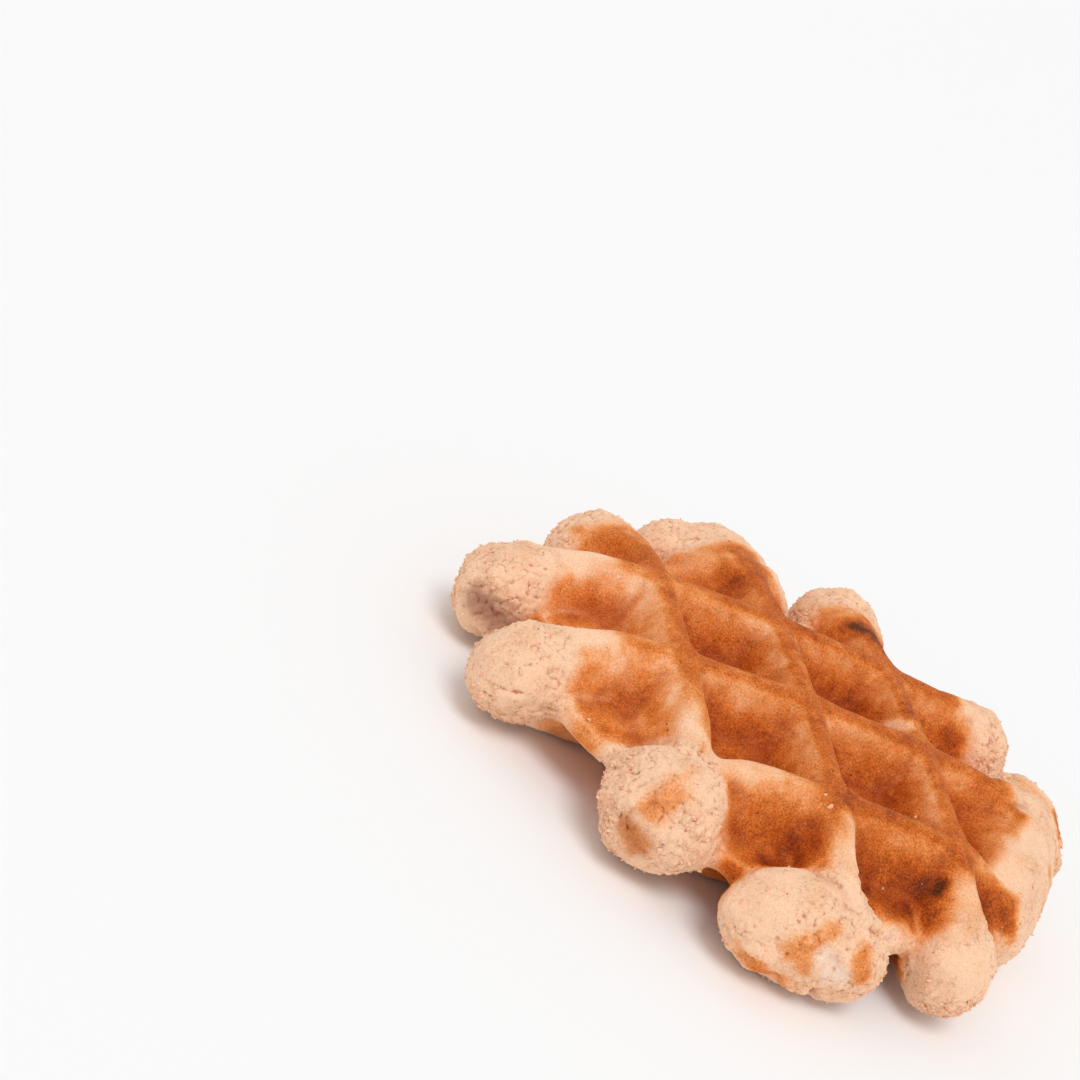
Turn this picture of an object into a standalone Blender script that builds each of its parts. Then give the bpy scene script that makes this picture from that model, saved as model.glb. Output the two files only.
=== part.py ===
# A yeast-dough waffle of one piece: three ribs each way, pockets on both faces
# and a ring of rounded dough lobes where the ribs run out. Metres, +Z up.
import math

import bmesh
import bpy
import numpy as np
from mathutils import Matrix, Vector, noise

for old in list(bpy.data.objects):
    bpy.data.objects.remove(old)

MM = 0.001

# Driving sizes
PITCH = 25 * MM             # crest to crest
THICKNESS = 23.5 * MM       # crest of the upper face to crest of the lower face
POCKET_DEPTH = 9.5 * MM     # crest to pocket floor
CREST = 4.2 * MM            # width along the top of a rib, with its two shoulders
LONG_WALL = 5.4 * MM        # run of the sloping wall of a rib that lies along X
CROSS_WALL = 4.6 * MM       # the same for a rib that lies along Y
SHOULDER = 0.45 * MM        # how far the edge of a crest lies below its middle
DOME = (1.31, 1.38, 0.16)   # droop in metres for x squared, y squared and x times y
RIB_TAPER = 13 * MM         # length over which a rib sinks into its lobe
RIB_END = (0.55, 0.8)       # height and width left at the rib's end, as shares
RIB_RINGS = 16
NECK_BALLS = 4
NECK_END = (0.84, 0.84, 1.1)    # a neck's last ball against its lobe, as shares
WEB_STEPS = 5               # points on the web's rim from one given place to the next
LEAN = 0.85                 # degrees about X that bring front and back ribs level
REST_CUT = 1.2 * MM         # how much of the lowest dough is pressed flat

# Surface
VOXEL = 0.9 * MM
TRIANGLES = 10500
CRAG_SEED = Vector((3.1, 7.7, 1.9))
LUMP = (9.0 * MM, 0.9 * MM)    # spacing and height of the broad lumps on the lobes
CRAG = (4.2 * MM, 0.8 * MM)    # spacing and height of the small crags on the lobes
SKIN = (7.0 * MM, 0.22 * MM)    # spacing and height of the unevenness inside the pockets
LOBE_REACH = 1.25               # where lumps end, in half sizes from a lobe's centre
LOBE_EDGE = 3                   # how sharply they fade there
SMOOTHING = 14

# Lobes, in millimetres from the middle rib crossing: centre, half sizes, turn in
# degrees, lift above mid thickness, and where the neck towards the middle ends.
LOBES = {
    "back_left": dict(at=(-28.9, 45.7), half=(9.8, 9.0, 9.6), lift=0.9, neck=(-25.5, 37.0)),
    "left_back": dict(at=(-50.2, 23.2), half=(8.9, 9.2, 8.9), lift=0.4, neck=(-41.0, 24.5)),
    "left_middle": dict(at=(-49.6, -1.6), half=(9.0, 9.0, 8.9), lift=0.2, neck=(-41.0, -0.5)),
    "front_left": dict(at=(-27.2, -28.2), half=(11.3, 9.0, 9.9), turn=-45, lift=0.3),
    "front_middle": dict(at=(-3.0, -45.4), half=(15.3, 8.9, 9.4), turn=-7, lift=-0.5),
    "front_right": dict(at=(25.8, -40.4), half=(8.0, 8.6, 8.6), lift=0.3, neck=(25.4, -33.0)),
    "right_front": dict(at=(37.5, -25.5), half=(8.6, 8.4, 8.4), lift=0.4),
    "right_middle": dict(at=(52.8, 3.4), half=(10.6, 12.2, 10.8), lift=1.2, neck=(41.0, -20.0)),
    "right_back": dict(at=(50.3, 27.9), half=(9.4, 9.3, 10.0), lift=2.2, neck=(42.0, 25.5)),
    "back_right": dict(at=(27.9, 54.4), half=(10.4, 9.8, 10.6), lift=1.2, neck=(25.5, 43.0)),
    "back_middle": dict(at=(-2.3, 58.5), half=(15.9, 9.6, 10.6), turn=-4, lift=0.7, neck=(0.0, 46.0)),
}

# Rolls of dough between two lobes, along a rib's end and in a pocket that ran full
ROLLS = {
    "front": dict(at=(11.5, -40.0), half=(6.0, 4.0, 3.8), lift=0.8),
    "front_corner": dict(at=(33.0, -34.0), half=(5.5, 4.5, 4.6)),
    "right_middle_rib": dict(at=(44.5, 0.0), half=(9.5, 5.4, 11.4), lift=1.4),
    "right_back_rib": dict(at=(41.5, 25.8), half=(8.5, 5.0, 11.2), lift=1.5),
    "right_pocket": dict(at=(42.5, -12.0), half=(9.6, 10.0, 8.8), lift=0.6),
}

# Where the thin web ends between one lobe and the next, in the same millimetres.
WAISTS = {
    "back_left": (-42.0, 37.0),
    "left_back": (-44.0, 11.0),
    "left_middle": (-41.5, -13.0),
    "front_left": (-16.5, -37.5),
    "front_middle": (12.0, -41.0),
    "front_right": (34.0, -34.5),
    "right_front": (47.0, -13.0),
    "right_middle": (50.0, 14.5),
    "right_back": (40.0, 38.0),
    "back_right": (14.0, 48.0),
    "back_middle": (-17.0, 49.0),
}

# Places where the dough tore as it came out of the iron: centre and reach in
# millimetres, with the depth of the hollow.
TEARS = (
    dict(at=(10.0, -44.0, 2.0), reach=4.0, depth=1.6),
    dict(at=(3.0, -53.5, -3.0), reach=4.5, depth=1.4),
    dict(at=(-5.0, -52.0, -7.0), reach=5.0, depth=1.2),
    dict(at=(-48.0, -10.0, -4.0), reach=5.0, depth=1.3),
)

# Each rib: the lobe it starts from and the lobe it ends in
LONG_RIBS = (("front_left", "right_front", -1), ("left_middle", "right_middle", 0),
             ("left_back", "right_back", 1))
CROSS_RIBS = (("front_left", "back_left", -1), ("front_middle", "back_middle", 0),
              ("front_right", "back_right", 1))


def rib_section(wall, height, width):
    """The rib's closed outline as (across, height), taller and wider by the two shares."""
    top = THICKNESS / 2
    web = top - POCKET_DEPTH
    peak = web + POCKET_DEPTH * height
    crest = CREST / 2 * width
    foot = crest + wall * width
    right = [(crest / 2, peak), (crest, peak - SHOULDER), (foot, web),
             (foot, -web), (crest, -peak + SHOULDER), (crest / 2, -peak)]
    return right + [(-across, level) for across, level in reversed(right)]


def add_rib(bm, start, end, offset, along_x):
    """A bar with sloping walls from one lobe's centre to another's, lower at its ends."""
    wall = LONG_WALL if along_x else CROSS_WALL
    rings = []
    for i in range(RIB_RINGS + 1):
        distance = start + (end - start) * i / RIB_RINGS
        inward = min(distance - start, end - distance) / RIB_TAPER
        share = math.sin(min(1, inward) * math.pi / 2)
        section = rib_section(wall, *(least + (1 - least) * share for least in RIB_END))
        ring = []
        for across, height in section:
            place = (distance, offset + across) if along_x else (offset - across, distance)
            ring.append(bm.verts.new((*place, height)))
        if rings:
            for j in range(len(ring)):
                k = (j + 1) % len(ring)
                bm.faces.new((rings[-1][j], rings[-1][k], ring[k], ring[j]))
        rings.append(ring)
    bm.faces.new(list(reversed(rings[0])))
    bm.faces.new(rings[-1])


def add_ball(bm, centre, half, turn):
    """An ellipsoid of dough."""
    placing = (Matrix.Translation(centre) @ Matrix.Rotation(math.radians(turn), 4, "Z")
               @ Matrix.Diagonal((*half, 1)))
    bmesh.ops.create_icosphere(bm, subdivisions=4, radius=1, matrix=placing)


def add_lobe(bm, at, half, turn=0, lift=0, neck=None):
    """A lobe, with balls drawn back along the rib for its neck."""
    half = Vector(half) * MM
    centre = Vector((*at, lift)) * MM
    add_ball(bm, centre, half, turn)
    if neck:
        for step in range(1, NECK_BALLS + 1):
            share = step / NECK_BALLS
            place = centre.lerp(Vector((*neck, 0)) * MM, share)
            slim = Vector((1, 1, 1)).lerp(Vector(NECK_END), share)
            add_ball(bm, place, half * slim, turn)


def smooth_ring(points):
    """A closed Catmull-Rom curve through the points."""
    ring = []
    count = len(points)
    for i in range(count):
        a, b, c, d = (Vector(points[(i + k) % count]) for k in (-1, 0, 1, 2))
        for step in range(WEB_STEPS):
            t = step / WEB_STEPS
            ring.append(0.5 * ((2 * b) + (c - a) * t + (2 * a - 5 * b + 4 * c - d) * t * t
                               + (3 * b - a - 3 * c + d) * t ** 3))
    return ring


def add_web(bm):
    """The thin layer between upper and lower pockets, drawn in between the lobes."""
    rim = []
    for name, waist in WAISTS.items():
        rim += [LOBES[name]["at"], waist]
    web = THICKNESS / 2 - POCKET_DEPTH
    ring = smooth_ring([(x * MM, y * MM) for x, y in reversed(rim)])
    lower = [bm.verts.new((x, y, -web)) for x, y in ring]
    upper = [bm.verts.new((x, y, web)) for x, y in ring]
    count = len(ring)
    for i in range(count):
        j = (i + 1) % count
        bm.faces.new((lower[i], lower[j], upper[j], upper[i]))
    bm.faces.new(list(reversed(lower)))
    bm.faces.new(upper)


def rough_dough():
    """Ribs, web and lobes as overlapping closed shapes in one mesh."""
    bm = bmesh.new()
    for start, end, row in LONG_RIBS:
        add_rib(bm, LOBES[start]["at"][0] * MM, LOBES[end]["at"][0] * MM, row * PITCH, True)
    for start, end, row in CROSS_RIBS:
        add_rib(bm, LOBES[start]["at"][1] * MM, LOBES[end]["at"][1] * MM, row * PITCH, False)
    add_web(bm)
    for dough in [*LOBES.values(), *ROLLS.values()]:
        add_lobe(bm, **dough)
    bmesh.ops.recalc_face_normals(bm, faces=bm.faces)
    mesh = bpy.data.meshes.new("dough")
    bm.to_mesh(mesh)
    bm.free()
    return mesh


def with_modifier(mesh, kind, **settings):
    """The mesh as one modifier leaves it."""
    ob = bpy.data.objects.new("shaping", mesh)
    bpy.context.collection.objects.link(ob)
    modifier = ob.modifiers.new(kind, kind)
    for name, value in settings.items():
        setattr(modifier, name, value)
    bpy.context.view_layer.update()
    seen = ob.evaluated_get(bpy.context.evaluated_depsgraph_get())
    shaped = bpy.data.meshes.new_from_object(seen)
    bpy.data.objects.remove(ob)
    return shaped


def lobe_share(x, y):
    """0 inside the field of pockets, 1 out on the lobes."""
    most = 0
    for lobe in LOBES.values():
        away = math.hypot(x / MM - lobe["at"][0], y / MM - lobe["at"][1])
        most = max(most, LOBE_REACH - away / max(lobe["half"][:2]))
    return min(1, most * LOBE_EDGE)


def tear_depth(place):
    """How far a point sinks where the dough tore."""
    depth = 0
    for tear in TEARS:
        away = (place / MM - Vector(tear["at"])).length / tear["reach"]
        depth += tear["depth"] * MM * math.exp(-away ** 4)
    return depth


def uneven(mesh):
    """Lumps, crags and tears on the lobes, a softer unevenness elsewhere, then the droop."""
    mesh.update()
    normals = [v.normal.copy() for v in mesh.vertices]
    for vertex, normal in zip(mesh.vertices, normals):
        x, y, z = vertex.co
        place = vertex.co + CRAG_SEED
        outer = lobe_share(x, y)
        push = noise.noise(place / SKIN[0]) * SKIN[1] - tear_depth(vertex.co)
        push += outer * noise.noise(place / LUMP[0]) * LUMP[1]
        push += outer * noise.noise(place / CRAG[0]) * CRAG[1]
        vertex.co += normal * push
        vertex.co.z -= DOME[0] * x * x + DOME[1] * y * y + DOME[2] * x * y
    mesh.update()


def settle(mesh):
    """Stood level, the lowest dough pressed flat, the box's bottom centre at the origin."""
    mesh.transform(Matrix.Rotation(math.radians(LEAN), 4, "X"))
    places = np.empty(len(mesh.vertices) * 3)
    mesh.vertices.foreach_get("co", places)
    places = places.reshape(-1, 3)
    low = places.min(axis=0)
    middle = -(low + places.max(axis=0)) / 2
    middle[2] = -low[2] - REST_CUT
    places += middle
    places[:, 2] = places[:, 2].clip(min=0)
    mesh.vertices.foreach_set("co", places.ravel())
    mesh.update()
    print("middle rib crossing at mid thickness, mm:", *(f"{at / MM:.2f}" for at in middle))


def browned_dough():
    """Baked yeast dough, orange brown."""
    material = bpy.data.materials.new("browned_dough")
    material.use_nodes = True
    shader = material.node_tree.nodes["Principled BSDF"]
    shader.inputs["Base Color"].default_value = (0.55, 0.21, 0.06, 1)
    shader.inputs["Roughness"].default_value = 0.75
    shader.inputs["Metallic"].default_value = 0
    return material


def waffle():
    mesh = with_modifier(rough_dough(), "REMESH", mode="VOXEL", voxel_size=VOXEL)
    mesh = with_modifier(mesh, "SMOOTH", factor=0.5, iterations=SMOOTHING)
    uneven(mesh)
    faces = sum(len(p.vertices) - 2 for p in mesh.polygons)
    mesh = with_modifier(mesh, "DECIMATE", ratio=TRIANGLES / faces, use_collapse_triangulate=True)
    settle(mesh)
    mesh.name = "waffle"
    mesh.materials.append(browned_dough())
    mesh.shade_smooth()
    ob = bpy.data.objects.new("waffle", mesh)
    bpy.context.collection.objects.link(ob)
    return ob


waffle()
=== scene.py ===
import bmesh
import bpy
import math
import numpy as np
from mathutils import Matrix, Vector, noise


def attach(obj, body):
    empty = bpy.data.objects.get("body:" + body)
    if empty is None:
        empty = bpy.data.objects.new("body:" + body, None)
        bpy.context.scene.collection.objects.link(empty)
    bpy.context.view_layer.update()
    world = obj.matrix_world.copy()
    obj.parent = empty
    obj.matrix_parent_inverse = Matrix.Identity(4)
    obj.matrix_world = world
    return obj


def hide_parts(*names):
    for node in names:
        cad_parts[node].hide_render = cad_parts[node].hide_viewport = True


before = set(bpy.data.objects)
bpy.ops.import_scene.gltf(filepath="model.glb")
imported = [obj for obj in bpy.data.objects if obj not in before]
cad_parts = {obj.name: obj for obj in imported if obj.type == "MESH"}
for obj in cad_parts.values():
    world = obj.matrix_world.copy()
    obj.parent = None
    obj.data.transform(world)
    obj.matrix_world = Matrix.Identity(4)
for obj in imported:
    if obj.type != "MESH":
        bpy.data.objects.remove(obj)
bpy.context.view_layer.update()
print("frame loaded, nodes:", ", ".join(sorted(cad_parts)))

perMetre = 1000.0   # mm in a metre

# The iron's grid of ribs, which every place on the dough is given in: mm from the
# crossing of the middle ribs, x and y along the ribs, z up from the middle of the dough.
ironGrid = dict(
    crossing=(-2.08, -7.40, 13.79),     # mm in the frame
    lean=0.85,                          # degrees about X, from how the waffle lies
    droop=(1.31e-3, 1.38e-3, 0.16e-3),  # mm lost for each square mm of x x, y y and x y
    crest=11.75,                        # height of the rib crests
)
leanTurn = np.array(Matrix.Rotation(math.radians(ironGrid["lean"]), 3, "X"))


def toGrid(places):
    # frame metres to grid mm, with the droop of the dough taken out
    moved = (places * perMetre - ironGrid["crossing"]) @ leanTurn
    x, y, z = moved.T
    forX, forY, forBoth = ironGrid["droop"]
    return np.column_stack((x, y, z + forX * x * x + forY * y * y + forBoth * x * y))


def smoothStep(low, high, values):
    share = np.clip((values - low) / (high - low), 0.0, 1.0)
    return share * share * (3.0 - 2.0 * share)


def noiseAt(places, size, shift):
    # Perlin noise from -1 to 1, its lumps about one size (in mm) apart. shift says where
    # the noise is read, so that two patterns of one size differ.
    spots = (places / size + shift).tolist()
    return np.array([noise.noise(spot) for spot in spots])


def beyondBlob(places, at, half, turn=0.0):
    # mm outside an ellipsoid, negative within it
    cosine, sine = math.cos(math.radians(turn)), math.sin(math.radians(turn))
    x, y, z = (places - at).T
    along = (x * cosine + y * sine) / half[0]
    across = (y * cosine - x * sine) / half[1]
    reach = np.sqrt(along ** 2 + across ** 2 + (z / half[2]) ** 2)
    return (reach - 1.0) * min(half)


def beyondRoll(places, start, end, wide):
    # mm outside a roll from start to end, whose radius goes from wide[0] to wide[1]
    start, end = np.array(start), np.array(end)
    run = end - start
    share = np.clip((places - start) @ run / (run @ run), 0.0, 1.0)
    away = np.linalg.norm(places - start - share[:, None] * run, axis=1)
    return away - (wide[0] + (wide[1] - wide[0]) * share)


# Where the dough bulged out of the iron and stayed pale. at and half in grid mm.
paleLobes = {
    "backLeft": dict(at=(-31.0, 54.5, 0.0), half=(14.0, 11.5, 30.0)),
    "backLeftSide": dict(at=(-42.0, 42.0, -1.0), half=(7.5, 10.0, 13.0)),
    "leftBack": dict(at=(-55.0, 22.4, 0.0), half=(11.6, 12.0, 30.0)),
    "leftMiddle": dict(at=(-54.4, -5.0, 0.0), half=(11.4, 15.0, 30.0)),
    "leftMiddleFoot": dict(at=(-47.5, -11.8, -1.0), half=(5.6, 5.2, 8.5)),
    "frontLeft": dict(at=(-31.8, -29.6, 0.0), half=(14.0, 11.3, 30.0), turn=-45),
    "frontMiddle": dict(at=(-3.2, -49.4, 0.0), half=(18.0, 11.2, 30.0), turn=-7),
    "frontRight": dict(at=(27.0, -48.0, 0.0), half=(9.2, 11.5, 30.0)),
    "rightFront": dict(at=(48.5, -27.0, 0.0), half=(9.6, 13.0, 30.0)),
    "rightFrontFoot": dict(at=(38.0, -32.5, -5.5), half=(8.5, 8.0, 9.2)),
    "rightMiddle": dict(at=(57.4, 1.0, 0.0), half=(15.0, 17.0, 30.0)),
    "rightBack": dict(at=(56.0, 25.5, 0.0), half=(11.4, 15.0, 30.0)),
    "backRight": dict(at=(28.0, 58.5, 0.0), half=(13.0, 13.6, 30.0)),
    "backMiddle": dict(at=(-6.0, 65.5, 0.0), half=(19.0, 13.0, 30.0)),
    "backMiddleLeft": dict(at=(-19.5, 55.0, 0.0), half=(5.4, 9.0, 14.0)),
    "backMiddleTop": dict(at=(-12.5, 56.0, 0.0), half=(8.5, 7.0, 30.0)),
    "backMiddleRight": dict(at=(11.5, 53.0, 0.0), half=(8.4, 13.5, 30.0)),
    "frontLeftFoot": dict(at=(-22.5, -35.5, -1.0), half=(4.6, 5.0, 8.0)),
    "frontRightFoot": dict(at=(19.5, -45.0, 0.0), half=(4.5, 4.5, 9.0)),
    "frontRoll": dict(at=(13.0, -44.2, 0.4), half=(8.0, 4.6, 6.0)),
}

# Pale stretches of rib between a lobe and the browned middle, on both faces. share is
# how pale they are, soft the mm over which they turn brown.
paleNecks = {
    "leftBack": dict(start=(-50, 24.5, 9), end=(-36.2, 25.2, 10.5), wide=(4.4, 2.6)),
    "leftMiddle": dict(start=(-50, -0.8, 9), end=(-39.4, -0.6, 10.5), wide=(4.6, 1.9), soft=2.2),
    "leftCrossing": dict(start=(-27.2, 21.2, 10.8), end=(-26.4, 14.5, 11.2), wide=(0.9, 0.6), share=0.55),
    "leftCrest": dict(start=(-26.6, 14, 11.2), end=(-25.8, 6, 11.4), wide=(0.6, 0.3), share=0.4),
    "frontLeftCrest": dict(
        start=(-25.6, -11, 10.8), end=(-26.2, -21, 9.8), wide=(0.9, 3.2), share=0.85, soft=2.2),
    "frontLeft": dict(start=(-24, -24.2, 8.5), end=(-12, -25.3, 11), wide=(3.0, 2.3), share=0.85),
    "frontLeftEnd": dict(
        start=(-14, -25.4, 10.5), end=(-6, -25.8, 10.8), wide=(2.4, 1.3), share=0.6, soft=2.2),
    "frontMiddle": dict(start=(0.2, -46, 8), end=(0.8, -30.5, 10.4), wide=(4.8, 2.2), share=0.86),
    "frontRight": dict(start=(26, -44, 8), end=(25.6, -33.8, 10), wide=(4.6, 2.4), share=0.84, soft=2.4),
    "rightPocket": dict(start=(38.6, -23.6, 9.5), end=(51, -8, 11), wide=(4.0, 4.8)),
    "rightPocketTip": dict(start=(33.4, -25.2, 10), end=(38.0, -24.0, 9), wide=(0.8, 3.4), soft=1.0),
    "rightBack": dict(start=(54, 27, 9), end=(45.0, 26.0, 10.4), wide=(5.0, 3.4)),
}

# The lip that the thin dough ends in between two lobes, with a painted highlight that makes it lighter than
# the pockets. It shows where the surface starts to turn down, outside the square that the ribs cover.
lipHighlight = dict(
    square=(-36.0, 35.0, -33.5, 36.5),   # left, right, front and back side in grid mm
    squareFade=(-2.0, 1.0),              # mm beyond a side over which the lip sets in
    slopes=(0.35, 0.75, 0.97),           # upright share of the normal: lip's start, middle and end
    heightFade=(3.0, 4.4),               # mm above and below the middle over which it ends
    share=0.55,                          # how much lighter the painted highlight makes it
)

# Single spots: place and reach in grid mm, and how brown they are, from 0 for pale over
# 1 for a well browned pocket to 2 for burnt.
browningSpots = (
    # lobe at the front left
    dict(start=(-32.0, -33.8, 5.0), end=(-29.8, -32.6, 8.0), wide=(2.3, 2.0), soft=1.6, browning=0.44),
    dict(start=(-29.8, -32.2, 8.6), end=(-27.8, -29.4, 10.2), wide=(1.5, 1.0), soft=1.8, browning=0.25),
    dict(start=(-34.0, -34.0, 0.2), end=(-31.8, -36.0, -1.8), wide=(1.9, 1.8), soft=1.7, browning=0.44),
    dict(start=(-24.1, -21.5, 10.1), end=(-24.4, -22.0, 10.1), wide=(0.5, 0.5), soft=0.7, browning=0.4),
    # lobe at the front
    dict(start=(-7.8, -52.3, 1.8), end=(-3.5, -51.2, 6.6), wide=(2.1, 1.1), soft=1.4, browning=0.48),
    dict(start=(-6.4, -52.8, 1.4), end=(-5.2, -53.3, -0.4), wide=(1.7, 1.3), soft=1.2, browning=0.42),
    dict(start=(-7.4, -52.5, 2.2), end=(-5.0, -52.3, 4.0), wide=(1.1, 0.9), soft=1.1, browning=0.66),
    dict(start=(3.0, -52.6, 4.8), end=(4.4, -53.0, 1.8), wide=(1.8, 1.7), soft=1.4, browning=0.60),
    dict(start=(-13.2, -50.2, -4.2), end=(-5.6, -52.0, -6.2), wide=(2.1, 2.4), soft=1.5, browning=0.46),
    dict(start=(-10.8, -51.0, -4.6), end=(-8.0, -51.4, -5.6), wide=(1.1, 1.1), soft=1.4, browning=0.70),
    dict(start=(8.6, -44.2, 3.4), end=(16.4, -41.2, 3.8), wide=(0.8, 0.8), soft=1.0, browning=0.34),
    # burnt spots beside the front right rib's end and on the lobe at the back right
    dict(start=(21.0, -33.2, 6.6), end=(21.6, -32.4, 7.8), wide=(1.2, 1.1), soft=1.2, browning=2.0),
    dict(start=(20.6, -32.0, 5.0), end=(21.2, -29.0, 6.0), wide=(1.6, 1.4), soft=2.0, browning=1.25),
    dict(start=(22.4, 40.6, 9.8), end=(25.2, 36.0, 11.4), wide=(1.6, 1.3), soft=2.2, browning=1.8),
    dict(start=(25.6, 35.0, 11.4), end=(26.6, 28.4, 11.2), wide=(0.7, 0.3), soft=0.9, browning=1.5),
    dict(start=(41.1, 19.9, 7.2), end=(40.6, 18.8, 4.4), wide=(1.5, 1.2), soft=1.8, browning=1.16),
    # brown patch on the lobe at the back left, with the rib that leads to it
    dict(start=(-25.6, 31.0, 10.5), end=(-30.4, 38.8, 8.8), wide=(4.2, 3.6), soft=2.0, browning=0.90),
    # lightly coloured side of the lobe at the back, and its browned top
    dict(start=(-13.5, 46.2, 3.5), end=(-9.0, 46.2, 8.0), wide=(3.0, 3.2), soft=2.8, browning=0.40),
    dict(start=(-4.4, 42.4, 8.6), end=(-2.4, 37.6, 8.4), wide=(2.8, 2.6), soft=2.8, browning=1.12),
    # orange tint and browned rim on the lobe at the right
    dict(start=(50.2, 5.4, 11.6), end=(56.6, 1.4, 10.6), wide=(1.5, 1.4), soft=1.8, browning=0.30),
    dict(start=(57.8, 3.4, 9.4), end=(58.4, -1.6, 8.2), wide=(1.5, 1.6), soft=1.3, browning=0.8),
    # light colour where the front right rib runs into its lobe
    dict(start=(24.6, -35.0, 9.8), end=(25.4, -40.0, 8.6), wide=(2.6, 1.8), soft=3.0, browning=0.20),
    # light top of the back left rib's front wall
    dict(start=(-22.0, 23.0, 11.0), end=(-14.0, 22.8, 10.7), wide=(1.2, 1.0), soft=1.7, browning=0.48),
    # browned wall top in the pocket at the right
    dict(start=(37.0, -3.2, 10.2), end=(43.4, -3.8, 10.6), wide=(1.5, 1.5), soft=1.8, browning=0.85),
    # pale place on the crest of the right rib
    dict(start=(20.9, 8.2, 8.8), end=(23.8, 6.0, 11.0), wide=(1.7, 1.3), soft=1.2, browning=0.19),
)

# Dusky greyish brown places: dough that hot air, not the iron, toasted, and painted shade on lobes
duskAndShadeSpots = (
    # painted shadow low on the lobe at the left back, over some darker crumb
    dict(start=(-56.0, 16.6, 0.8), end=(-50.2, 14.4, -1.4), wide=(2.6, 2.2), soft=2.2, share=0.75),
    # dough toasted dusky low on the lobe at the front left
    dict(start=(-34.0, -34.0, 0.4), end=(-31.8, -36.0, -1.6), wide=(1.9, 1.8), soft=1.9, share=0.46),
    # painted shade on the lobe at the right front
    dict(start=(42.2, -26.7, 8.4), end=(43.7, -23.5, 10.9), wide=(2.0, 2.0), soft=3.0, share=0.14),
)

# How brown the dough is away from the pale places, and how that varies. Each noise is
# its size in mm, its strength and its shift.
crust = dict(
    pocket=0.88,
    wallTop=0.51,                # just under the crest, where the iron pressed least
    crest=0.87,
    wallRise=(5.0, 1.8),         # mm above mid thickness and below the crest between which it gets lighter
    crestRise=(1.2, 0.4),        # mm below the crest, where it is dark again
    leftPockets=dict(change=-0.24, across=(-30.0, -24.0)),   # next to the left rim, took less heat
    frontPockets=dict(change=0.22, across=(-30.0, -24.0), along=(-17.0, -9.0)),   # took more
    rightSide=dict(change=0.04, across=(2.0, 26.0)),
    blotch=(6.0, 0.24, 1.7),
    fleck=(1.7, 0.22, 5.2),
    spotEdge=(1.6, 1.1, 2.2),    # the wandering edge of a spot, its strength in mm
    edgeSoft=1.9,                # mm over which pale turns to brown
    edgeWander=(3.6, 0.8, 3.3),  # the wandering of that edge, its strength in mm
    edgeFray=(0.35, 0.45, 8.1),  # its finer part, as shares of that size and strength
    neckWander=0.7,              # how much of it the necks have
    burnt=2.0,
)


def shareOf(beyond, soft):
    return 1.0 - smoothStep(-soft, soft, beyond)


def paleShares(places):
    # share of bulging raw-looking dough, and share of everything pale
    size, reach, shift = crust["edgeWander"]
    fine, less, fineShift = crust["edgeFray"]
    wander = noiseAt(places, size, shift) * reach + noiseAt(places, size * fine, fineShift) * reach * less
    bulge = np.zeros(len(places))
    for lobe in paleLobes.values():
        beyond = beyondBlob(places, **lobe) + wander
        bulge = np.maximum(bulge, shareOf(beyond, crust["edgeSoft"]))
    pale = bulge.copy()
    bothFaces = places * (1, 1, 0) + np.abs(places) * (0, 0, 1)
    for neck in paleNecks.values():
        beyond = beyondRoll(bothFaces, neck["start"], neck["end"], neck["wide"])
        share = shareOf(beyond + wander * crust["neckWander"], neck.get("soft", crust["edgeSoft"]))
        pale = np.maximum(pale, share * neck.get("share", 1.0))
    return bulge, pale


def lipHighlightShare(places, normals):
    x, y, z = places.T
    left, right, front, back = lipHighlight["square"]
    outside = np.maximum.reduce([left - x, x - right, front - y, y - back])
    start, middle, end = lipHighlight["slopes"]
    upright = np.abs(normals[:, 2])
    turning = smoothStep(start, middle, upright) * (1.0 - smoothStep(middle, end, upright))
    low = 1.0 - smoothStep(*lipHighlight["heightFade"], np.abs(z))
    return turning * smoothStep(*lipHighlight["squareFade"], outside) * low


def crustBrowning(places):
    # how brown the iron baked each place, before the pale parts and the spots
    x, y, z = places.T
    height = np.abs(z)
    crest = ironGrid["crest"]
    lower, upper = crust["wallRise"]
    brown = crust["pocket"] + (crust["wallTop"] - crust["pocket"]) * smoothStep(lower, crest - upper, height)
    lower, upper = crust["crestRise"]
    brown += (crust["crest"] - crust["wallTop"]) * smoothStep(crest - lower, crest - upper, height)
    left, front, right = crust["leftPockets"], crust["frontPockets"], crust["rightSide"]
    brown += left["change"] * (1.0 - smoothStep(*left["across"], x))
    brown += front["change"] * (1.0 - smoothStep(*front["across"], y)) * smoothStep(*front["along"], x)
    brown += right["change"] * smoothStep(*right["across"], x)
    for name in ("blotch", "fleck"):
        size, strength, shift = crust[name]
        brown += noiseAt(places, size, shift) * strength
    return brown


def browningOf(places, normals):
    bulge, pale = paleShares(places)
    brown = crustBrowning(places)
    # painted highlight along the lip, drawn as less browning
    brown *= 1.0 - lipHighlight["share"] * lipHighlightShare(places, normals)
    brown *= 1.0 - pale
    size, reach, shift = crust["spotEdge"]
    for spot in browningSpots:
        beyond = beyondRoll(places, spot["start"], spot["end"], spot["wide"])
        share = shareOf(beyond + noiseAt(places, size, shift) * reach, spot["soft"])
        brown += (spot["browning"] - brown) * share
    return bulge, np.clip(brown, 0.0, crust["burnt"])


def duskAndShadeOf(places):
    # how dusky each place is, from toasting and from painted shade
    size, _, shift = crust["spotEdge"]
    duskAndShade = np.zeros(len(places))
    for spot in duskAndShadeSpots:
        beyond = beyondRoll(places, spot["start"], spot["end"], spot["wide"]) + noiseAt(places, size, shift)
        duskAndShade = np.maximum(duskAndShade, shareOf(beyond, spot["soft"]) * spot["share"])
    return duskAndShade


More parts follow.
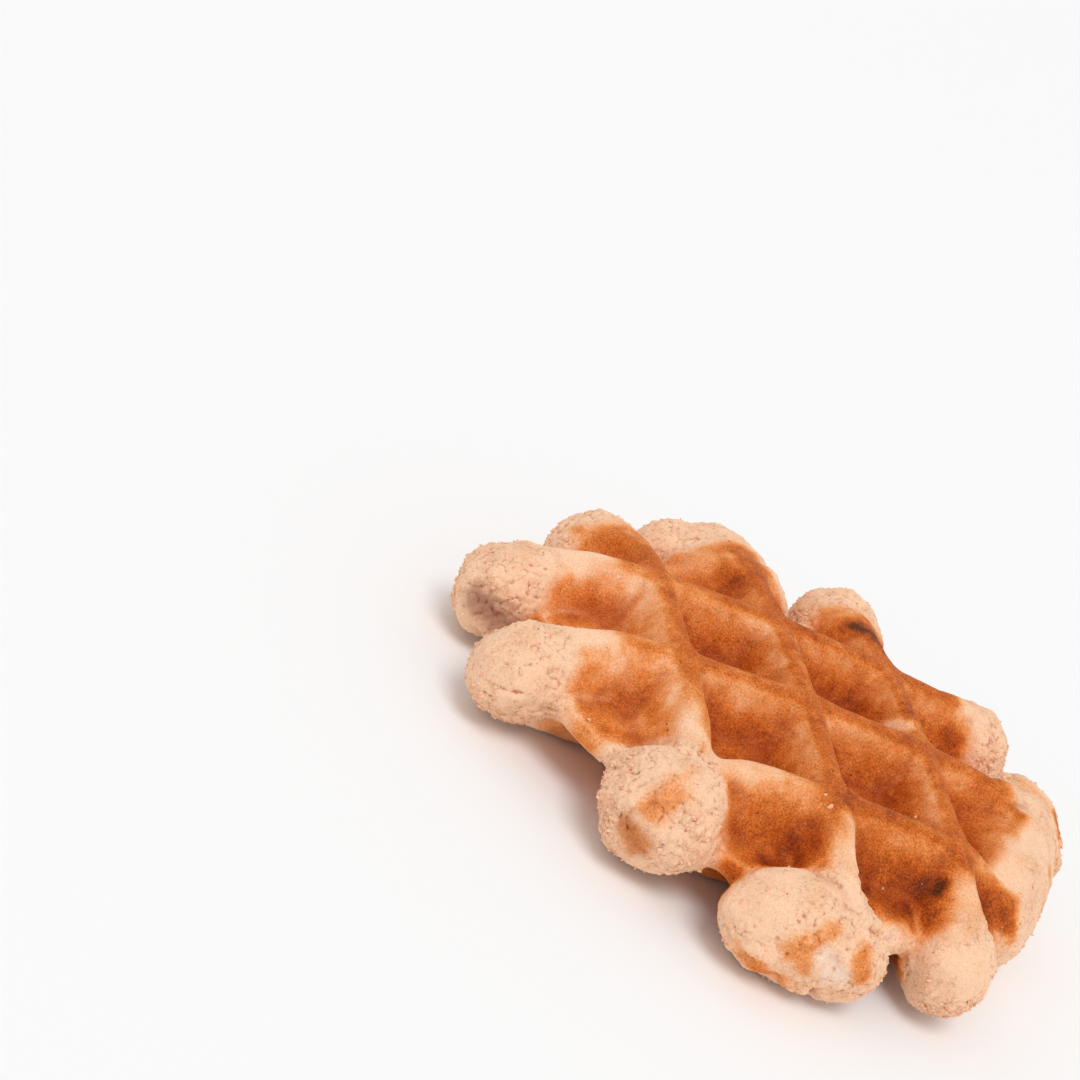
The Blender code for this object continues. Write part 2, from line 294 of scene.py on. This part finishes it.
# Torn places on the lobes: a path of points in grid mm, with the tear's width and depth,
# and how white the torn crumb is
tears = (
    dict(path=((4.4, -48.6, 7.4), (7.0, -47.4, 6.2), (9.6, -45.4, 4.8)), wide=1.0, deep=1.1, white=0.2),
    dict(path=((9.6, -45.2, 5.0), (12.4, -42.6, 2.4)), wide=2.0, deep=0.3, white=0.7),
    dict(path=((-3.4, -53.2, 3.2), (-0.8, -53.4, 2.8), (2.0, -53.5, 0.6)), wide=2.4, deep=0.6, white=0.9),
    dict(path=((-0.8, -53.4, 2.8), (-0.6, -53.8, -0.6)), wide=2.2, deep=0.5, white=0.9),
    dict(path=((0.4, -53.0, -4.4), (0.8, -51.0, -6.8), (1.0, -47.0, -8.0)), wide=1.5, deep=1.5, white=0.7),
    dict(path=((-54.4, -8.4, 0.8), (-51.6, -10.6, 1.8), (-47.4, -10.4, 2.2)),
         wide=0.8, deep=1.0, white=0.2),
    dict(path=((-30.6, -35.6, 2.0), (-28.0, -36.2, 2.4), (-25.8, -35.2, 4.2)),
         wide=0.5, deep=0.4, white=0.1),
    dict(path=((-8.6, -52.6, 4.0), (-5.0, -51.8, 6.2)), wide=0.7, deep=0.4, white=0.0),
    dict(path=((-53.4, 17.0, 3.0), (-52.0, 14.4, -1.4)), wide=2.4, deep=0.3, white=0.0),
)

# Relief of the surface. Each noise is its size and its height or depth in mm, and its shift.
roughness = dict(
    leastBulge=0.02,                 # share of bulging dough from which it is rough
    skin=(3.4, 0.12, 11.0),
    skinGrain=(1.1, 0.05, 21.0),
    grainOnPale=0.5,                 # share of that grain left on pale dough
    bulgeLump=(5.0, 0.30, 31.0),
    bulgeCrumb=(1.9, 0.62, 41.0),    # rounded crumbs with sharp gaps between them
    bulgeGrain=(1.0, 0.36, 51.0),
    crumbLevel=0.2,                  # the noise that is level with the surface
    crumbSpread=(0.35, 0.65),        # height of the crumbs everywhere, and more in patches
    crumbPatch=(8.0, (-0.40, 0.20), 61.0),   # size, where in the noise they set in, shift
    crack=(2.6, 0.32, 71.0),
    crackHalf=0.10,                  # half its width as a share of the noise
    pit=(2.1, 0.42),                 # mm between pits, and their depth
    pitRadius=(0.58, 0.6),           # mm, and the smallest as a share of that
    pitPatch=(6.0, (-0.35, 0.25), 81.0),
    tearWander=(1.8, 0.5, 91.0),
)


def pitDepth(spots):
    spacing, deep = roughness["pit"]
    radius, least = roughness["pitRadius"]
    depths = []
    for spot in (spots / spacing).tolist():
        distances, centres = noise.voronoi(spot)
        chance = abs(noise.cell(centres[0] * 7.0))   # a number of its own for each pit
        reach = distances[0] * spacing / (radius * (least + (1.0 - least) * chance))
        depths.append(deep * max(0.0, 1.0 - reach * reach))
    return np.array(depths)


def tearShares(places):
    # for each tear, how deep a point lies in it, from 0 to 1
    size, reach, shift = roughness["tearWander"]
    wander = noiseAt(places, size, shift) * reach
    for tear in tears:
        inside = np.zeros(len(places))
        for start, end in zip(tear["path"], tear["path"][1:]):
            beyond = beyondRoll(places, start, end, (0.0, 0.0)) + wander
            inside = np.maximum(inside, 1.0 - smoothStep(0.0, tear["wide"], beyond))
        yield tear, inside


def patchShare(places, name):
    size, (low, high), shift = roughness[name]
    return smoothStep(low, high, noiseAt(places, size, shift))


def crumbRelief(spots):
    # mm of relief of the dough that was not pressed
    size, height, shift = roughness["bulgeLump"]
    rough = noiseAt(spots, size, shift) * height
    patchy = patchShare(spots, "crumbPatch")
    everywhere, more = roughness["crumbSpread"]
    for name in ("bulgeCrumb", "bulgeGrain"):
        size, height, shift = roughness[name]
        crumb = np.abs(noiseAt(spots, size, shift)) - roughness["crumbLevel"]
        rough += crumb * height * (everywhere + more * patchy)
    size, deep, shift = roughness["crack"]
    inCrack = 1.0 - np.abs(noiseAt(spots, size, shift)) / roughness["crackHalf"]
    rough -= np.maximum(0.0, inCrack) * deep * patchy
    rough -= pitDepth(spots) * patchShare(spots, "pitPatch")
    return rough


def reliefOf(places):
    # mm that the surface moves along its normal
    bulge, pale = paleShares(places)
    size, height, shift = roughness["skin"]
    relief = noiseAt(places, size, shift) * height
    size, height, shift = roughness["skinGrain"]
    relief += noiseAt(places, size, shift) * height * (1.0 - (1.0 - roughness["grainOnPale"]) * pale)
    inside = bulge > roughness["leastBulge"]
    relief[inside] += crumbRelief(places[inside]) * bulge[inside]
    for tear, share in tearShares(places):
        relief -= tear["deep"] * share
    return relief


def applyModifier(piece, kind, **settings):
    modifier = piece.modifiers.new(kind, kind)
    for name, value in settings.items():
        setattr(modifier, name, value)
    with bpy.context.temp_override(object=piece, active_object=piece):
        bpy.ops.object.modifier_apply(modifier=modifier.name)


def vertexPlaces(mesh):
    places = np.empty(len(mesh.vertices) * 3)
    mesh.vertices.foreach_get("co", places)
    return places.reshape(-1, 3)


def vertexNormals(mesh):
    normals = np.empty(len(mesh.vertices) * 3)
    mesh.vertex_normals.foreach_get("vector", normals)
    return normals.reshape(-1, 3)


def setAttribute(mesh, name, values):
    layer = mesh.attributes.new(name, "FLOAT", "POINT")
    layer.data.foreach_set("value", values.astype(np.float32))


def readAttribute(mesh, name):
    values = np.empty(len(mesh.vertices), dtype=np.float32)
    mesh.attributes[name].data.foreach_get("value", values)
    return values


def creviceOf(mesh, rounds):
    # mm that a vertex lies below the mean of its neighbours, evened over some rounds
    edges = np.empty(len(mesh.edges) * 2, dtype=np.int32)
    mesh.edges.foreach_get("vertices", edges)
    first, second = edges.reshape(-1, 2).T
    count = np.bincount(edges, minlength=len(mesh.vertices))
    places = vertexPlaces(mesh) * perMetre
    level = places.copy()
    for turn in range(rounds):
        total = np.zeros_like(level)
        for axis in range(3):
            total[:, axis] = (np.bincount(first, level[second, axis], len(count))
                              + np.bincount(second, level[first, axis], len(count)))
        level = total / count[:, None]
    return np.einsum("ij,ij->i", level - places, vertexNormals(mesh))


doughForm = dict(
    subdivisions=2,
    voxel=0.36,              # mm
    smoothFactor=0.5,
    smoothTurns=9,
    mostTriangles=196000,
    creviceRounds=6,         # how far around a gap its depth is measured
    bakedOver=(0.05, 0.35),  # browning over which bulging dough stops looking raw
    halfway=0.5,             # the attribute's value for a browning of 1
)


def shapeDough(piece):
    # smooth, finely meshed dough, then its relief, then no more triangles than allowed
    level = doughForm["subdivisions"]
    applyModifier(piece, "WELD", merge_threshold=1e-6)
    applyModifier(piece, "SUBSURF", levels=level, render_levels=level)
    applyModifier(piece, "REMESH", mode="VOXEL", voxel_size=doughForm["voxel"] / perMetre)
    applyModifier(piece, "SMOOTH", factor=doughForm["smoothFactor"], iterations=doughForm["smoothTurns"])
    mesh = piece.data
    places = vertexPlaces(mesh)
    print("smooth dough:", len(places), "vertices")
    relief = reliefOf(toGrid(places))
    moved = places + vertexNormals(mesh) * relief[:, None] / perMetre
    moved[:, 2] = np.maximum(moved[:, 2], 0.0)   # nothing below what it lies on
    mesh.vertices.foreach_set("co", moved.ravel())
    mesh.update()
    triangles = sum(len(face.vertices) - 2 for face in mesh.polygons)
    applyModifier(piece, "DECIMATE", ratio=min(1.0, doughForm["mostTriangles"] / triangles))
    piece.data.shade_smooth()


def shadeDough(mesh):
    # what the crust's material reads at each vertex
    places = toGrid(vertexPlaces(mesh))
    bulge, browning = browningOf(places, vertexNormals(mesh))
    torn = np.zeros(len(places))
    for tear, share in tearShares(places):
        torn = np.maximum(torn, share * tear["white"])
    setAttribute(mesh, "browning", browning * doughForm["halfway"])
    setAttribute(mesh, "duskAndShade", duskAndShadeOf(places))
    setAttribute(mesh, "bulge", bulge * (1.0 - smoothStep(*doughForm["bakedOver"], browning)))
    setAttribute(mesh, "torn", torn)
    # the depth of gaps, read as painted shade, none in the tears
    setAttribute(mesh, "crevice", creviceOf(mesh, doughForm["creviceRounds"]) * (1.0 - torn))
    print("rough dough:", len(mesh.polygons), "triangles,", int((bulge > 0.5).sum()), "of", len(places),
          "vertices in the pale parts")


def buildDough():
    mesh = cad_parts["waffle"].data.copy()
    mesh.materials.clear()
    piece = bpy.data.objects.new("baked_dough", mesh)
    bpy.context.scene.collection.objects.link(piece)
    shapeDough(piece)
    shadeDough(piece.data)
    return piece


# Irregular chips of dried dough: each is a small crooked ball, pressed flat
chipForm = dict(
    corner=(0.55, 1.25),        # how near and far its corners are, as shares
    least=(0.8, 0.5, 0.25),     # length, width and thickness, as shares of its half size
    most=(1.5, 0.9, 0.6),
    tilt=0.6,                   # how far it leans from the surface
)

# Flakes that stand up from the rough lobes
flakes = dict(
    count=9400,
    halfSize=(0.13, 0.46),      # mm, most of them near the first
    nearFirst=2.5,
    clump=(6.0, (-0.1, 0.4), 17.0),   # mm between clumps, where in the noise they set in, shift
    betweenClumps=0.10,
    onTop=0.10,                 # share left on faces that look up
    topFade=(-0.8, 0.2),
    leastBulge=0.9,
    mostBrowning=0.06,          # of the attribute, 0.5 for well browned
    mostDuskAndShade=0.2,
    clearance=0.4,              # mm above what the waffle lies on
    raised=0.35,                # of its half size
    seed=4,
)

# Loose crumbs on the browned middle, at x and y in grid mm
looseCrumbs = dict(
    places=((-3.2, -26.7), (-2.2, -28.3), (20.6, -16.1), (12.1, -32.9), (36.7, -31.9), (-39.6, -13.1)),
    halfSize=(0.38, 0.55),      # mm
    upright=0.3,                # least upright share of the normal where one can lie
    raised=0.3,
    seed=11,
)


def chipMesh(name, centres, normals, halves, random):
    # chips of the given half sizes that lie along the surface
    ball = bmesh.new()
    bmesh.ops.create_icosphere(ball, subdivisions=1, radius=1.0)
    corners = np.array([vertex.co[:] for vertex in ball.verts])
    sides = np.array([[vertex.index for vertex in face.verts] for face in ball.faces])
    ball.free()
    count = len(centres)
    shapes = corners * random.uniform(*chipForm["corner"], (count, len(corners), 1))
    shapes *= random.uniform(chipForm["least"], chipForm["most"], (count, 3))[:, None, :]
    tilted = normals + random.normal(0.0, chipForm["tilt"], (count, 3))
    up = tilted / np.linalg.norm(tilted, axis=1)[:, None]
    across = np.cross(up, random.normal(0.0, 1.0, (count, 3)))
    across /= np.linalg.norm(across, axis=1)[:, None]
    turns = np.stack((across, np.cross(up, across), up), axis=1)
    places = centres[:, None, :] + np.einsum("nvi,nij->nvj", shapes * halves[:, None, None], turns)
    places = places.reshape(-1, 3)
    places[:, 2] = np.maximum(places[:, 2], 0.0)
    allSides = (sides[None] + len(corners) * np.arange(count)[:, None, None]).reshape(-1, 3)
    mesh = bpy.data.meshes.new(name)
    mesh.from_pydata(places.tolist(), [], allSides.tolist())
    mesh.update()
    piece = bpy.data.objects.new(name, mesh)
    bpy.context.scene.collection.objects.link(piece)
    return piece


def flakeWeights(mesh):
    # how likely each vertex is to hold a flake
    places, normals = vertexPlaces(mesh), vertexNormals(mesh)
    bulge, browning, duskAndShade = (readAttribute(mesh, name) for name in ("bulge", "browning", "duskAndShade"))
    size, (low, high), shift = flakes["clump"]
    clumps = smoothStep(low, high, noiseAt(places * perMetre, size, shift))
    facing = flakes["onTop"] + smoothStep(*flakes["topFade"], -normals[:, 2])
    raw = (bulge > flakes["leastBulge"]) & (browning < flakes["mostBrowning"]) & (duskAndShade < flakes["mostDuskAndShade"])
    raw &= places[:, 2] > flakes["clearance"] / perMetre
    weights = np.where(raw, (flakes["betweenClumps"] + clumps) * facing, 0.0)
    return weights / weights.sum()


def buildFlakes(dough):
    random = np.random.default_rng(flakes["seed"])
    places, normals = vertexPlaces(dough.data), vertexNormals(dough.data)
    chosen = random.choice(len(places), flakes["count"], replace=False, p=flakeWeights(dough.data))
    least, most = flakes["halfSize"]
    sizes = least + (most - least) * random.random(flakes["count"]) ** flakes["nearFirst"]
    halves = sizes / perMetre
    centres = places[chosen] + normals[chosen] * halves[:, None] * flakes["raised"]
    return chipMesh("dough_flakes", centres, normals[chosen], halves, random)


def buildLooseCrumbs(dough):
    random = np.random.default_rng(looseCrumbs["seed"])
    places, normals = vertexPlaces(dough.data), vertexNormals(dough.data)
    grid = toGrid(places)
    tooSteep = np.where(normals[:, 2] > looseCrumbs["upright"], 0.0, np.inf)
    chosen = [np.argmin(np.hypot(grid[:, 0] - x, grid[:, 1] - y) + tooSteep)
              for x, y in looseCrumbs["places"]]
    halves = random.uniform(*looseCrumbs["halfSize"], len(chosen)) / perMetre
    centres = places[chosen] + normals[chosen] * halves[:, None] * looseCrumbs["raised"]
    return chipMesh("loose_crumbs", centres, normals[chosen], halves, random)


def fromHex(code):
    # sRGB hex to linear
    parts = [int(code[i:i + 2], 16) / 255.0 for i in (1, 3, 5)]
    return [p / 12.92 if p <= 0.04045 else ((p + 0.055) / 1.055) ** 2.4 for p in parts] + [1.0]


def addNode(tree, kind, inputs=None, **settings):
    node = tree.nodes.new(kind)
    for name, value in settings.items():
        setattr(node, name, value)
    for socket, value in (inputs or {}).items():
        if isinstance(value, bpy.types.NodeSocket):
            tree.links.new(value, node.inputs[socket])
        else:
            node.inputs[socket].default_value = value
    return node


# Shades of the dough from raw-pale over well browned (0.5) to burnt (1.0)
doughShades = (
    (0.00, "#FFD0AC"), (0.08, "#FBC094"), (0.18, "#F2A268"), (0.30, "#E28541"),
    (0.42, "#CF6C25"), (0.52, "#BE5A16"), (0.62, "#A24810"), (0.78, "#66320A"), (1.00, "#2E1E06"),
)

# Patterns of the crust: size in mm and octaves of finer detail
crustPatterns = dict(
    grain=(0.36, 3.0),       # open grain of the skin, about 0.2 mm, drawn coarser so that it shows
    mottle=(1.7, 3.0),
    crumb=(0.85, 4.0),       # crumbs of the dough that was not pressed
    wrinkle=(1.2, 2.0),      # between its short wrinkles
    patch=(5.0, 1.0),        # patches in which it is rough
)

crustFinish = dict(
    patternRoughness=0.6,
    mottleShift=(0.55, 0.03),    # how far the mottle moves the browning: its share of it, and everywhere
    patchShift=0.22,
    roughFrom=(0.40, 0.60),      # the patch noise over which raw dough gets rough
    marksFrom=(0.52, 0.64),      # the crumb noise over which marks show on it
    brokenFrom=(0.47, 0.58),     # the crumb noise over which wrinkles show on it
    wrinkleEdge=(0.030, 0.008),  # the wrinkle noise from its middle: where a line starts and is full
    gapShadeDepth=(0.03, 0.24),       # mm of depth over which the painted shade in a gap deepens
    gapShadeShare=0.62,
    grainSwing=(4.0, 0.60),      # light and dark of the grain: with the browning, and everywhere
    bakedFrom=(0.15, 0.35),      # the browning, 0.5 for well browned, over which pores and glints show
    bakedShare=0.75,
    grainDepth=0.15,             # mm of relief
    crumbDepth=0.34,
    crumbLevel=(0.7, 0.3),       # share of that in rough patches, and everywhere
    sheen=(0.9, 0.6),            # roughness of raw and of well browned dough
    mark="#F0BD9D",              # shades of the raw dough's marks, wrinkles and torn crumb, and the painted shade in gaps
    line="#DDA988",
    torn="#F8DBC6",
    gapShade="#C29078",
    # multiplied in at the dusky spots: toasted dough, and painted shade
    duskAndShade="#94716A",
)

# Specks: mm between them, radius in mm, share of the places that hold one, shade, and how
# strong they are or where they lie
specks = dict(
    fineCinnamon=(1.15, 0.19, 0.45, "#86563C", 0.62),
    cinnamon=(2.2, 0.28, 0.42, "#6A3A20", 0.90),
    pore=(1.05, 0.22, 0.50, "#6A2C0C", "baked"),
    lightCrumb=(1.2, 0.24, 0.50, "#FFE4CC", "rough"),
    deepPore=(2.4, 0.27, 0.45, "#43190A", "baked"),
    paintedGlint=(0.90, 0.15, 0.36, "#FFB878", "baked"),      # painted glints where fat would catch the light
)


def speckShare(tree, place, spacing, radius, share, most):
    # most in round specks of uneven size, 0 between them
    cells = addNode(tree, "ShaderNodeTexVoronoi", {"Vector": place, "Scale": perMetre / spacing})
    chance = addNode(tree, "ShaderNodeSeparateColor", {0: cells.outputs["Color"]})
    reach = addNode(tree, "ShaderNodeMapRange", {
        "Value": chance.outputs[0], "From Min": 1.0 - share, "From Max": 1.0,
        "To Min": 0.0, "To Max": radius / spacing})
    inside = addNode(tree, "ShaderNodeMath", {0: reach.outputs[0], 1: cells.outputs["Distance"]},
                     operation="SUBTRACT")
    softEdge = radius / spacing * 0.35   # a speck fades over a third of its radius
    return addNode(tree, "ShaderNodeMapRange", {
        "Value": inside.outputs[0], "From Min": 0.0, "From Max": softEdge, "To Max": most}).outputs[0]


def yeastDoughCrust():
    # Enriched yeast dough baked against a greased iron: a fine-pored matt crust with a
    # faint fatty sheen, raw-pale and crumbly where it bulged out of the iron.
    material = bpy.data.materials.new("yeast_dough_crust")
    material.use_nodes = True
    tree = material.node_tree
    surface = tree.nodes["Principled BSDF"]
    place = addNode(tree, "ShaderNodeTexCoord").outputs["Object"]
    browning, bulge, crevice, torn, duskAndShade = (
        addNode(tree, "ShaderNodeAttribute", attribute_name=name).outputs["Fac"]
        for name in ("browning", "bulge", "crevice", "torn", "duskAndShade"))
    grain, mottle, crumb, wrinkle, patch = (
        addNode(tree, "ShaderNodeTexNoise", {
            "Vector": place, "Scale": perMetre / size, "Detail": detail,
            "Roughness": crustFinish["patternRoughness"]}).outputs["Fac"]
        for size, detail in crustPatterns.values())
    grainAway, mottleAway, wrinkleAway, patchAway = (
        addNode(tree, "ShaderNodeMath", {0: value, 1: 0.5}, operation="SUBTRACT").outputs[0]
        for value in (grain, mottle, wrinkle, patch))

    # browning moves with the mottle, least where the dough is pale, and with the patches
    rising, even = crustFinish["mottleShift"]
    weight = addNode(tree, "ShaderNodeMath", {0: browning, 1: rising, 2: even}, operation="MULTIPLY_ADD")
    baked = addNode(tree, "ShaderNodeMath", {0: mottleAway, 1: weight.outputs[0], 2: browning},
                    operation="MULTIPLY_ADD")
    baked = addNode(tree, "ShaderNodeMath", {0: patchAway, 1: crustFinish["patchShift"], 2: baked.outputs[0]},
                    operation="MULTIPLY_ADD")
    ramp = addNode(tree, "ShaderNodeValToRGB", {"Fac": baked.outputs[0]})
    stops = ramp.color_ramp.elements
    stops[0].position, stops[0].color = doughShades[0][0], fromHex(doughShades[0][1])
    stops[1].position, stops[1].color = doughShades[-1][0], fromHex(doughShades[-1][1])
    for position, shade in doughShades[1:-1]:
        stops.new(position).color = fromHex(shade)

    # raw dough: crumb marks and short wrinkles in patches, whiter where it tore
    low, high = crustFinish["roughFrom"]
    rough = addNode(tree, "ShaderNodeMapRange", {
        "Value": patch, "From Min": low, "From Max": high, "To Max": bulge}).outputs[0]
    low, high = crustFinish["marksFrom"]
    marks = addNode(tree, "ShaderNodeMapRange", {
        "Value": crumb, "From Min": low, "From Max": high, "To Max": rough}).outputs[0]
    low, high = crustFinish["brokenFrom"]
    broken = addNode(tree, "ShaderNodeMapRange", {
        "Value": crumb, "From Min": low, "From Max": high, "To Max": rough}).outputs[0]
    low, high = crustFinish["wrinkleEdge"]
    nearWave = addNode(tree, "ShaderNodeMath", {0: wrinkleAway}, operation="ABSOLUTE").outputs[0]
    lines = addNode(tree, "ShaderNodeMapRange", {
        "Value": nearWave, "From Min": low, "From Max": high, "To Max": broken}).outputs[0]
    # painted shade: gaps darken by how far they lie below the surface around them
    low, high = crustFinish["gapShadeDepth"]
    shadeInGaps = addNode(tree, "ShaderNodeMapRange", {
        "Value": crevice, "From Min": low, "From Max": high, "To Max": crustFinish["gapShadeShare"]}).outputs[0]
    colour = ramp.outputs["Color"]
    # marks, wrinkles and torn crumb mixed in, then painted shade in gaps and at dusky spots multiplied in
    for share, key, way in ((marks, "mark", "MIX"), (lines, "line", "MIX"), (torn, "torn", "MIX"),
                            (shadeInGaps, "gapShade", "MULTIPLY"), (duskAndShade, "duskAndShade", "MULTIPLY")):
        colour = addNode(tree, "ShaderNodeMix", {0: share, 6: colour, 7: fromHex(crustFinish[key])},
                         data_type="RGBA", blend_type=way).outputs[2]

    # fine grain of the crust as light and dark, strongest on the browned skin
    rising, even = crustFinish["grainSwing"]
    swing = addNode(tree, "ShaderNodeMath", {0: browning, 1: rising, 2: even}, operation="MULTIPLY_ADD")
    tone = addNode(tree, "ShaderNodeMath", {0: grainAway, 1: swing.outputs[0], 2: 1.0},
                   operation="MULTIPLY_ADD").outputs[0]
    colour = addNode(tree, "ShaderNodeVectorMath", {0: colour, "Scale": tone}, operation="SCALE").outputs[0]

    # cinnamon everywhere, pores and painted glints of fat only in the browned skin
    low, high = crustFinish["bakedFrom"]
    skin = addNode(tree, "ShaderNodeMapRange", {
        "Value": browning, "From Min": low, "From Max": high, "To Max": crustFinish["bakedShare"]}).outputs[0]
    for spacing, radius, share, shade, most in specks.values():
        strength = {"baked": skin, "rough": rough}.get(most, most)
        inSpecks = speckShare(tree, place, spacing, radius, share, strength)
        colour = addNode(tree, "ShaderNodeMix", {0: inSpecks, 6: colour, 7: fromHex(shade)},
                         data_type="RGBA").outputs[2]

    fineBump = addNode(tree, "ShaderNodeBump", {
        "Strength": 1.0, "Distance": crustFinish["grainDepth"] / perMetre, "Height": grain})
    rising, even = crustFinish["crumbLevel"]
    share = addNode(tree, "ShaderNodeMath", {0: rough, 1: rising, 2: even}, operation="MULTIPLY_ADD")
    height = addNode(tree, "ShaderNodeMath", {0: crumb, 1: share.outputs[0]}, operation="MULTIPLY").outputs[0]
    bump = addNode(tree, "ShaderNodeBump", {
        "Strength": 1.0, "Distance": crustFinish["crumbDepth"] / perMetre, "Height": height,
        "Normal": fineBump.outputs["Normal"]})
    raw, brown = crustFinish["sheen"]
    sheen = addNode(tree, "ShaderNodeMapRange", {
        "Value": browning, "From Min": 0.0, "From Max": doughForm["halfway"], "To Min": raw, "To Max": brown})
    tree.links.new(colour, surface.inputs["Base Color"])
    tree.links.new(sheen.outputs["Result"], surface.inputs["Roughness"])
    tree.links.new(bump.outputs["Normal"], surface.inputs["Normal"])
    surface.inputs["IOR"].default_value = 1.45                  # fat and starch
    surface.inputs["Specular IOR Level"].default_value = 0.22   # pores take most of the gloss
    surface.inputs["Subsurface Weight"].default_value = 0.15
    surface.inputs["Subsurface Radius"].default_value = (1.0, 0.45, 0.22)
    surface.inputs["Subsurface Scale"].default_value = 1.2 / perMetre
    return material


crumbFinish = dict(
    size=0.7,                # mm, its uneven shades
    shadeFrom=(0.35, 0.70),  # where in the noise they change
    depth=0.08,              # mm of relief
    flakes=("#FFD2B0", "#EEBF9C"),
    crumbs=("#F6C9A0", "#E0A070"),
)


def driedCrumb(name, shade, deepShade):
    # Dried crumb of the same dough, torn and not pressed: matt, with uneven pale shades
    material = bpy.data.materials.new(name)
    material.use_nodes = True
    tree = material.node_tree
    surface = tree.nodes["Principled BSDF"]
    place = addNode(tree, "ShaderNodeTexCoord").outputs["Object"]
    tone = addNode(tree, "ShaderNodeTexNoise", {
        "Vector": place, "Scale": perMetre / crumbFinish["size"], "Detail": 2.0}).outputs["Fac"]
    low, high = crumbFinish["shadeFrom"]
    share = addNode(tree, "ShaderNodeMapRange", {"Value": tone, "From Min": low, "From Max": high})
    shades = addNode(tree, "ShaderNodeMix", {
        0: share.outputs[0], 6: fromHex(shade), 7: fromHex(deepShade)}, data_type="RGBA")
    bump = addNode(tree, "ShaderNodeBump", {
        "Strength": 0.6, "Distance": crumbFinish["depth"] / perMetre, "Height": tone})
    tree.links.new(shades.outputs[2], surface.inputs["Base Color"])
    tree.links.new(bump.outputs["Normal"], surface.inputs["Normal"])
    surface.inputs["Roughness"].default_value = 0.92
    surface.inputs["Specular IOR Level"].default_value = 0.25
    return material


def whitePaper(code):
    # Uncoated paper: plain and matt
    material = bpy.data.materials.new("white_paper")
    material.use_nodes = True
    surface = material.node_tree.nodes["Principled BSDF"]
    surface.inputs["Base Color"].default_value = fromHex(code)
    surface.inputs["Roughness"].default_value = 0.9
    return material


dough = buildDough()
dough.data.materials.append(yeastDoughCrust())
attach(dough, "root")
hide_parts("waffle")
print("dough finished")

doughFlakes = buildFlakes(dough)
doughFlakes.data.materials.append(driedCrumb("dried_dough_crumb", *crumbFinish["flakes"]))
crumbs = buildLooseCrumbs(dough)
crumbs.data.materials.append(driedCrumb("toasted_crumb", *crumbFinish["crumbs"]))
for piece in (doughFlakes, crumbs):
    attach(piece, "root")
    print(piece.name, "finished:", len(piece.data.polygons), "triangles")

studio = dict(
    floor="#FAFAFA",
    floorSize=12.0,          # m
    surround=0.69,           # strength of the even light from all round
    keyFrom=(-0.05, -0.42, 0.90),
    keySpread=30.0,          # degrees across, as a large softbox looks from the table
    keyStrength=1.10,
)


def buildStudio():
    half = studio["floorSize"] / 2
    mesh = bpy.data.meshes.new("floor")
    mesh.from_pydata([(-half, -half, 0), (half, -half, 0), (half, half, 0), (-half, half, 0)],
                     [], [(0, 1, 2, 3)])
    floor = bpy.data.objects.new("floor", mesh)
    bpy.context.scene.collection.objects.link(floor)
    mesh.materials.append(whitePaper(studio["floor"]))
    world = bpy.data.worlds.new("studio")
    world.use_nodes = True
    light = world.node_tree.nodes["Background"]
    light.inputs["Color"].default_value = (1.0, 1.0, 1.0, 1.0)
    light.inputs["Strength"].default_value = studio["surround"]
    bpy.context.scene.world = world
    key = bpy.data.objects.new("key", bpy.data.lights.new("key", "SUN"))
    key.data.angle = math.radians(studio["keySpread"])
    key.data.energy = studio["keyStrength"]
    key.rotation_euler = Vector(studio["keyFrom"]).to_track_quat("Z", "Y").to_euler()
    bpy.context.scene.collection.objects.link(key)


# The viewing angle, fitted to the rib crossings
view = dict(
    place=(-179.90, -296.88, 177.36),      # grid mm
    looksAlong=(0.33941, 0.83824, -0.42679),
    roll=31.58,                            # degrees
    lens=73.33,                            # mm on a 36 mm sensor
)


def buildCamera():
    camera = bpy.data.objects.new("camera", bpy.data.cameras.new("camera"))
    camera.data.lens = view["lens"]
    camera.data.sensor_width = 36.0
    camera.data.clip_start = 0.01
    place = (leanTurn @ view["place"] + ironGrid["crossing"]) / perMetre
    level = Vector(view["looksAlong"]).to_track_quat("-Z", "Y").to_matrix().to_4x4()
    turn = Matrix.Rotation(math.radians(view["roll"]), 4, "Z")
    camera.matrix_world = Matrix.Translation(place.tolist()) @ level @ turn
    bpy.context.scene.collection.objects.link(camera)
    bpy.context.scene.camera = camera


buildStudio()
buildCamera()
bpy.context.scene.view_settings.view_transform = "Standard"
print("studio ready")
